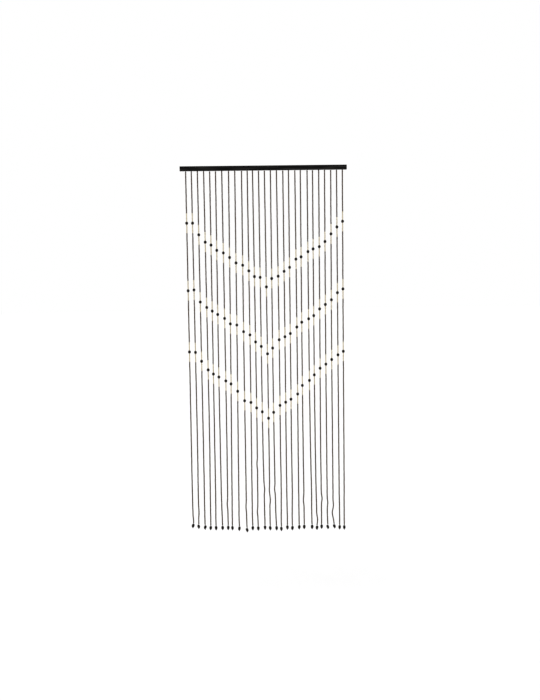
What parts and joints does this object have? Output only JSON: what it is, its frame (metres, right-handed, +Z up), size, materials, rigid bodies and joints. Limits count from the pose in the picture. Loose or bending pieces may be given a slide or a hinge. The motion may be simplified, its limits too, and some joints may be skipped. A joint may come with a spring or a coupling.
{
  "type": "bead door curtain on a wooden rail",
  "caption": "Doorway bead curtain: strands of small dark and natural wooden beads in a downward V pattern, with larger black beads, hanging from a black wooden rail.",
  "frame": {"origin": "middle of the rail's flat back face", "axes": "+X along the rail to the viewer's right, +Y out of the rail's back face, +Z up; the curtain's front faces -Y"},
  "size_m": [0.9, 0.015, 2.0035],
  "materials": {
    "black_paint": "satin black paint on a planed lath",
    "dark_beads": "dark brown stained wooden beads, satin",
    "natural_beads": "bare pale wood, waxed",
    "black_beads": "black stained wooden beads, satin",
    "cord": "dark twisted thread, matte"
  },
  "bodies": {
    "root": {"rail": "black_paint", "strands": "dark_beads"}
  },
  "joints": []
}
